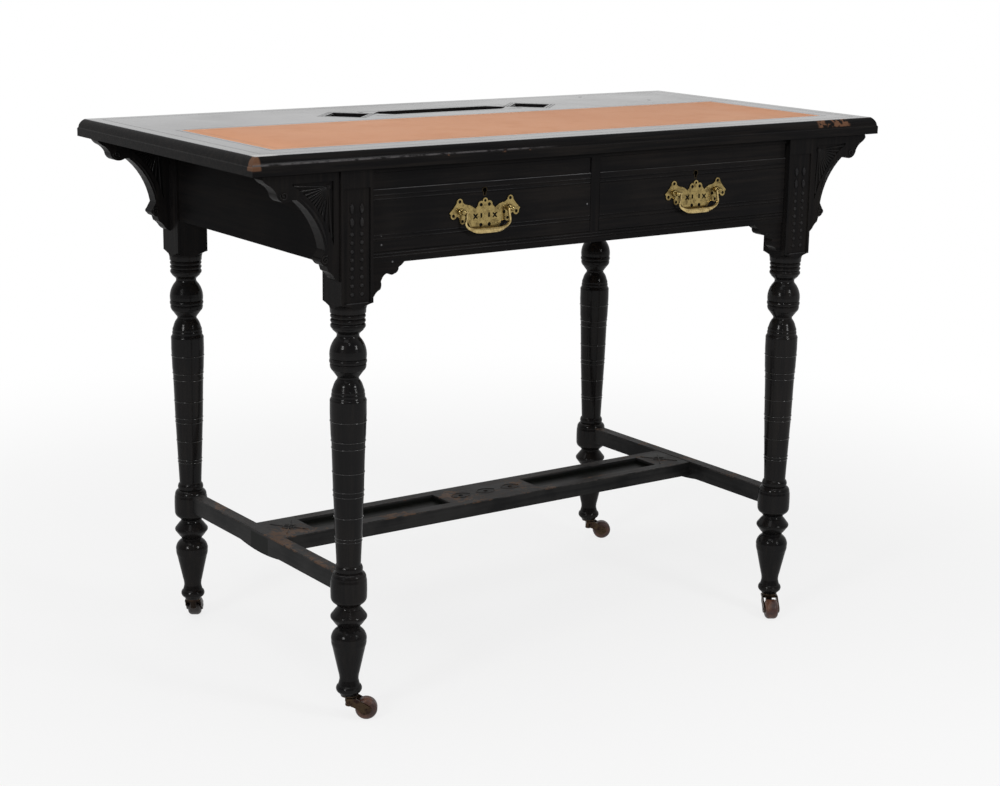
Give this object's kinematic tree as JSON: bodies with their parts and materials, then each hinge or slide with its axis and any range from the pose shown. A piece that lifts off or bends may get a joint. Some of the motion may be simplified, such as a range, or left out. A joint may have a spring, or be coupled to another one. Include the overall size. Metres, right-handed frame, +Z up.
{
  "type": "writing table",
  "caption": "Ebonised writing table with a leather-lined top, pen tray, inkwell recesses, drawers with bail handles, fretted brackets, turned legs, an H stretcher and castors.",
  "frame": {"origin": "on the floor, under the middle of the table as it stands on its castors", "axes": "+X along the length towards the right end, +Y from the drawer side to the back, +Z up"},
  "size_m": [1.03, 0.5134, 0.743],
  "materials": {
    "ebonised_wood": "black stain under a worn satin polish",
    "worn_ebonised_wood": "black stain rubbed to brown grey on the upper faces",
    "drawer_wood": "plain unpolished secondary timber",
    "leather": "faded tan hide with a tooled border",
    "old_brass": "cast and lacquered, dulled in the hollows",
    "screw_steel": "plain wood screws",
    "castor_wheel": "dark brown, turned and waxed"
  },
  "bodies": {
    "table": {"leather_inset": "leather", "top_screws": "screw_steel", "castor_sockets": "old_brass", "top_board": "ebonised_wood", "leg_front_left": "ebonised_wood", "leg_front_right": "ebonised_wood", "leg_rear_left": "ebonised_wood", "leg_rear_right": "ebonised_wood", "end_bracket_front_left": "ebonised_wood", "end_bracket_front_right": "ebonised_wood", "end_bracket_rear_left": "ebonised_wood", "end_bracket_rear_right": "ebonised_wood", "inner_bracket_left": "ebonised_wood", "inner_bracket_right": "ebonised_wood", "end_rail_left": "ebonised_wood", "end_rail_right": "ebonised_wood", "back_rail": "ebonised_wood", "front_top_rail": "ebonised_wood", "front_bottom_rail": "ebonised_wood", "front_divider": "ebonised_wood", "stretcher_left": "worn_ebonised_wood", "stretcher_right": "worn_ebonised_wood", "stretcher_centre": "worn_ebonised_wood", "centre_bearer": "drawer_wood", "drawer_runners": "drawer_wood", "drawer_guides": "drawer_wood", "drawer_kickers": "drawer_wood", "drawer_stops": "drawer_wood", "glue_blocks": "drawer_wood"},
    "left_drawer": {"left_drawer_front": "ebonised_wood", "left_drawer_sides": "drawer_wood", "left_drawer_back": "drawer_wood", "left_drawer_bottom": "drawer_wood", "left_lock_case": "old_brass", "left_escutcheon": "old_brass", "left_handle_plate": "old_brass", "left_handle_posts": "old_brass", "left_handle_nuts": "old_brass"},
    "left_bail": {"left_bail": "old_brass"},
    "left_lock_bolt": {"left_lock_bolt": "old_brass"},
    "right_drawer": {"right_drawer_front": "ebonised_wood", "right_drawer_sides": "drawer_wood", "right_drawer_back": "drawer_wood", "right_drawer_bottom": "drawer_wood", "right_lock_case": "old_brass", "right_escutcheon": "old_brass", "right_handle_plate": "old_brass", "right_handle_posts": "old_brass", "right_handle_nuts": "old_brass"},
    "right_bail": {"right_bail": "old_brass"},
    "right_lock_bolt": {"right_lock_bolt": "old_brass"},
    "castor_horn_front_left": {"castor_horn_front_left": "old_brass"},
    "castor_wheel_front_left": {"castor_wheel_front_left": "castor_wheel"},
    "castor_horn_front_right": {"castor_horn_front_right": "old_brass"},
    "castor_wheel_front_right": {"castor_wheel_front_right": "castor_wheel"},
    "castor_horn_rear_left": {"castor_horn_rear_left": "old_brass"},
    "castor_wheel_rear_left": {"castor_wheel_rear_left": "castor_wheel"},
    "castor_horn_rear_right": {"castor_horn_rear_right": "old_brass"},
    "castor_wheel_rear_right": {"castor_wheel_rear_right": "castor_wheel"}
  },
  "joints": [
    {"name": "left_drawer_slide", "type": "slide", "parent": "table", "child": "left_drawer", "axis": [0, -1, 0], "range_m": [0, 0.29]},
    {"name": "left_bail_swing", "type": "hinge", "parent": "left_drawer", "child": "left_bail", "pos_m": [-0.17472, -0.2464, 0.6561], "axis": [-1, 0, 0], "range_deg": [-6, 170]},
    {"name": "left_lock_bolt_throw", "type": "slide", "parent": "left_drawer", "child": "left_lock_bolt", "axis": [0, 0, 1], "range_m": [0, 0.005]},
    {"name": "right_drawer_slide", "type": "slide", "parent": "table", "child": "right_drawer", "axis": [0, -1, 0], "range_m": [0, 0.29]},
    {"name": "right_bail_swing", "type": "hinge", "parent": "right_drawer", "child": "right_bail", "pos_m": [0.17872, -0.2464, 0.6561], "axis": [-1, 0, 0], "range_deg": [-6, 170]},
    {"name": "right_lock_bolt_throw", "type": "slide", "parent": "right_drawer", "child": "right_lock_bolt", "axis": [0, 0, 1], "range_m": [0, 0.005]},
    {"name": "front_left_castor_swivel", "type": "hinge", "parent": "table", "child": "castor_horn_front_left", "pos_m": [-0.3692, -0.2228, 0.03], "axis": [0, 0, 1], "continuous": true},
    {"name": "front_left_wheel_spin", "type": "hinge", "parent": "castor_horn_front_left", "child": "castor_wheel_front_left", "pos_m": [-0.35033, -0.23505, 0.0145], "axis": [0.5446, 0.8387, 0], "continuous": true},
    {"name": "front_right_castor_swivel", "type": "hinge", "parent": "table", "child": "castor_horn_front_right", "pos_m": [0.3692, -0.2228, 0.03], "axis": [0, 0, 1], "continuous": true},
    {"name": "front_right_wheel_spin", "type": "hinge", "parent": "castor_horn_front_right", "child": "castor_wheel_front_right", "pos_m": [0.35695, -0.24167, 0.0145], "axis": [0.8387, -0.5446, 0], "continuous": true},
    {"name": "rear_left_castor_swivel", "type": "hinge", "parent": "table", "child": "castor_horn_rear_left", "pos_m": [-0.3692, 0.2228, 0.03], "axis": [0, 0, 1], "continuous": true},
    {"name": "rear_left_wheel_spin", "type": "hinge", "parent": "castor_horn_rear_left", "child": "castor_wheel_rear_left", "pos_m": [-0.35695, 0.24167, 0.0145], "axis": [-0.8387, 0.5446, 0], "continuous": true},
    {"name": "rear_right_castor_swivel", "type": "hinge", "parent": "table", "child": "castor_horn_rear_right", "pos_m": [0.3692, 0.2228, 0.03], "axis": [0, 0, 1], "continuous": true},
    {"name": "rear_right_wheel_spin", "type": "hinge", "parent": "castor_horn_rear_right", "child": "castor_wheel_rear_right", "pos_m": [0.38869, 0.21155, 0.0145], "axis": [0.5, 0.866, 0], "continuous": true}
  ]
}
